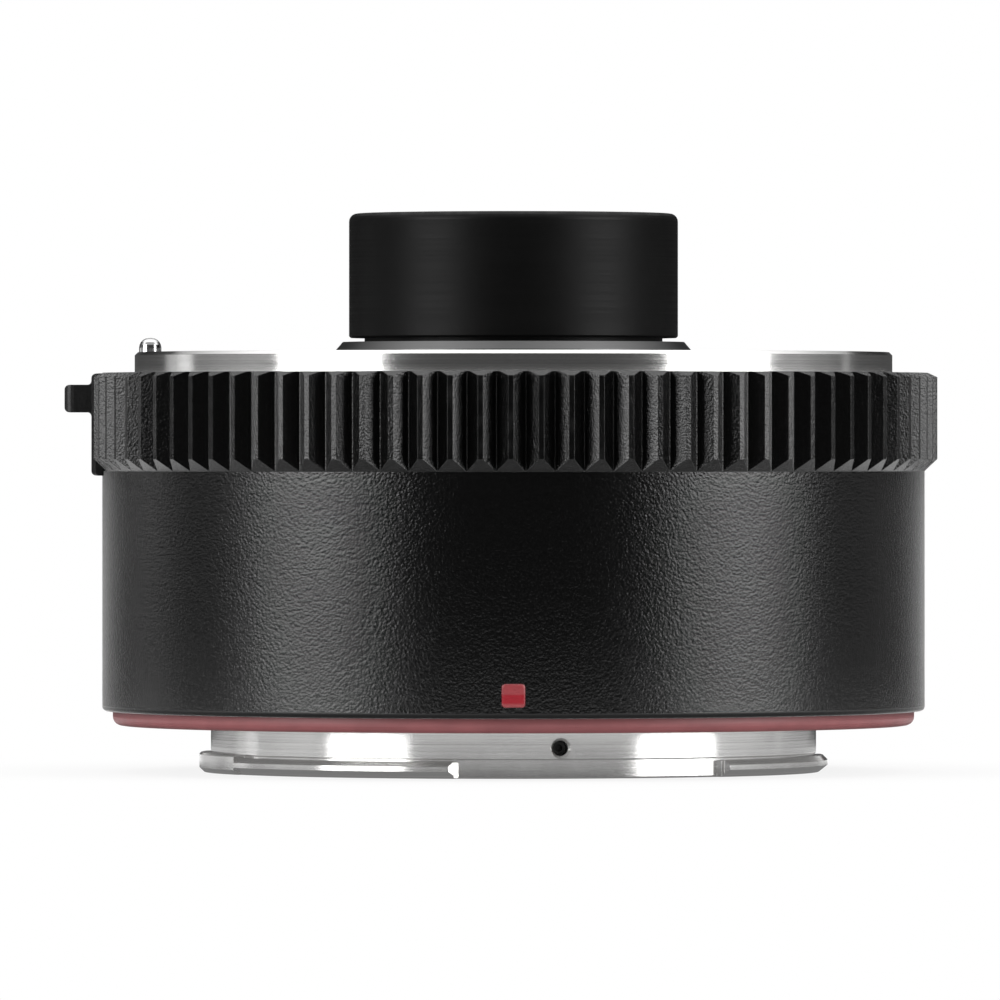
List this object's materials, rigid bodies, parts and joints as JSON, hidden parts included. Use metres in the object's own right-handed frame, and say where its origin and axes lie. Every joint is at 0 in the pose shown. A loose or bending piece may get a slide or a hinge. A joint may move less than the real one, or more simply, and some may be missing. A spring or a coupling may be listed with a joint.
{
  "type": "camera teleconverter",
  "caption": "Camera teleconverter: round barrel with a ribbed grip ring, bayonet mounts at both ends, lenses in a raised snout, a sliding lens release with lock pin, and sprung contacts.",
  "frame": {"origin": "on the optical axis, at the end face of the camera-side bayonet, on which the part stands", "axes": "+Z along the optical axis towards the lens; -Y the side with the index bead; -X the side with the release slider and lock pin; +Y the side with the contacts"},
  "size_m": [0.0762, 0.074, 0.0487],
  "materials": {
    "mount_steel": "turned and brushed stainless steel",
    "fastener_steel": "plain machined steel",
    "fastener_black": "blackened steel",
    "spring_steel": "bright spring wire and strip",
    "pin_steel": "polished",
    "accent_red": "matt red anodised",
    "barrel_black": "black leather-grain paint",
    "grip_black": "black fine-grain paint",
    "bead_red": "glossy red",
    "release_black": "fine matt black",
    "chassis_alloy": "machined, dark anodised",
    "plate_steel": "pressed steel",
    "baffle_black": "light-absorbing matt black",
    "block_black": "moulded black",
    "collar_grey": "turned, dark grey anodised",
    "cell_black": "matt black anodised",
    "snout_black": "satin black anodised",
    "contact_gold": "gold plated",
    "flex_amber": "polyimide film",
    "board_green": "solder mask",
    "chip_black": "moulded black",
    "lens_glass": "polished and coated"
  },
  "bodies": {
    "body": {"rear_mount": "mount_steel", "front_mount": "mount_steel", "rear_mount_screws": "fastener_steel", "front_mount_screws": "fastener_steel", "contact_block_screws": "fastener_steel", "board_screws": "fastener_steel", "front_cell_screws": "fastener_steel", "bracket_screws": "fastener_steel", "baffle_grub_screws": "fastener_black", "front_baffle_screws": "fastener_black", "mount_spring": "spring_steel", "contact_springs": "spring_steel", "release_spring": "spring_steel", "accent_ring": "accent_red", "barrel": "barrel_black", "grip_ring": "grip_black", "index_bead": "bead_red", "chassis": "chassis_alloy", "release_bracket": "plate_steel", "front_baffle": "baffle_black", "rear_baffle": "baffle_black", "front_contact_block": "block_black", "rear_contact_block": "block_black", "nose_collar": "collar_grey", "front_cell": "cell_black", "rear_cell": "cell_black", "front_retaining_ring": "cell_black", "mid_retaining_ring": "cell_black", "rear_retaining_ring": "cell_black", "lens_spacer_front": "cell_black", "lens_spacer_rear": "cell_black", "snout": "snout_black", "rear_contact_pads": "contact_gold", "front_flex": "flex_amber", "rear_flex": "flex_amber", "main_board": "board_green", "board_chips": "chip_black", "lens_1": "lens_glass", "lens_2": "lens_glass", "lens_3": "lens_glass", "lens_4": "lens_glass", "lens_5": "lens_glass", "lens_6": "lens_glass", "lens_7": "lens_glass"},
    "release": {"release_slider": "release_black", "release_carriage": "plate_steel", "lock_pin": "pin_steel", "release_screws": "fastener_steel"},
    "pin_01": {"contact_pin_1": "contact_gold"},
    "pin_02": {"contact_pin_2": "contact_gold"},
    "pin_03": {"contact_pin_3": "contact_gold"},
    "pin_04": {"contact_pin_4": "contact_gold"},
    "pin_05": {"contact_pin_5": "contact_gold"},
    "pin_06": {"contact_pin_6": "contact_gold"},
    "pin_07": {"contact_pin_7": "contact_gold"},
    "pin_08": {"contact_pin_8": "contact_gold"},
    "pin_09": {"contact_pin_9": "contact_gold"},
    "pin_10": {"contact_pin_10": "contact_gold"},
    "pin_11": {"contact_pin_11": "contact_gold"}
  },
  "joints": [
    {"name": "lens_release", "type": "slide", "parent": "body", "child": "release", "axis": [0, 0, -1], "range_m": [0, 0.0016], "stiffness_N_per_m": 800, "springref_m": -0.002, "deforming": ["release_spring"]},
    {"name": "pin_01_press", "type": "slide", "parent": "body", "child": "pin_01", "axis": [0, 0, -1], "range_m": [0, 0.0008], "stiffness_N_per_m": 500, "springref_m": -0.0003, "deforming": ["contact_springs"]},
    {"name": "pin_02_press", "type": "slide", "parent": "body", "child": "pin_02", "axis": [0, 0, -1], "range_m": [0, 0.0008], "stiffness_N_per_m": 500, "springref_m": -0.0003, "deforming": ["contact_springs"]},
    {"name": "pin_03_press", "type": "slide", "parent": "body", "child": "pin_03", "axis": [0, 0, -1], "range_m": [0, 0.0008], "stiffness_N_per_m": 500, "springref_m": -0.0003, "deforming": ["contact_springs"]},
    {"name": "pin_04_press", "type": "slide", "parent": "body", "child": "pin_04", "axis": [0, 0, -1], "range_m": [0, 0.0008], "stiffness_N_per_m": 500, "springref_m": -0.0003, "deforming": ["contact_springs"]},
    {"name": "pin_05_press", "type": "slide", "parent": "body", "child": "pin_05", "axis": [0, 0, -1], "range_m": [0, 0.0008], "stiffness_N_per_m": 500, "springref_m": -0.0003, "deforming": ["contact_springs"]},
    {"name": "pin_06_press", "type": "slide", "parent": "body", "child": "pin_06", "axis": [0, 0, -1], "range_m": [0, 0.0008], "stiffness_N_per_m": 500, "springref_m": -0.0003, "deforming": ["contact_springs"]},
    {"name": "pin_07_press", "type": "slide", "parent": "body", "child": "pin_07", "axis": [0, 0, -1], "range_m": [0, 0.0008], "stiffness_N_per_m": 500, "springref_m": -0.0003, "deforming": ["contact_springs"]},
    {"name": "pin_08_press", "type": "slide", "parent": "body", "child": "pin_08", "axis": [0, 0, -1], "range_m": [0, 0.0008], "stiffness_N_per_m": 500, "springref_m": -0.0003, "deforming": ["contact_springs"]},
    {"name": "pin_09_press", "type": "slide", "parent": "body", "child": "pin_09", "axis": [0, 0, -1], "range_m": [0, 0.0008], "stiffness_N_per_m": 500, "springref_m": -0.0003, "deforming": ["contact_springs"]},
    {"name": "pin_10_press", "type": "slide", "parent": "body", "child": "pin_10", "axis": [0, 0, -1], "range_m": [0, 0.0008], "stiffness_N_per_m": 500, "springref_m": -0.0003, "deforming": ["contact_springs"]},
    {"name": "pin_11_press", "type": "slide", "parent": "body", "child": "pin_11", "axis": [0, 0, -1], "range_m": [0, 0.0008], "stiffness_N_per_m": 500, "springref_m": -0.0003, "deforming": ["contact_springs"]}
  ]
}
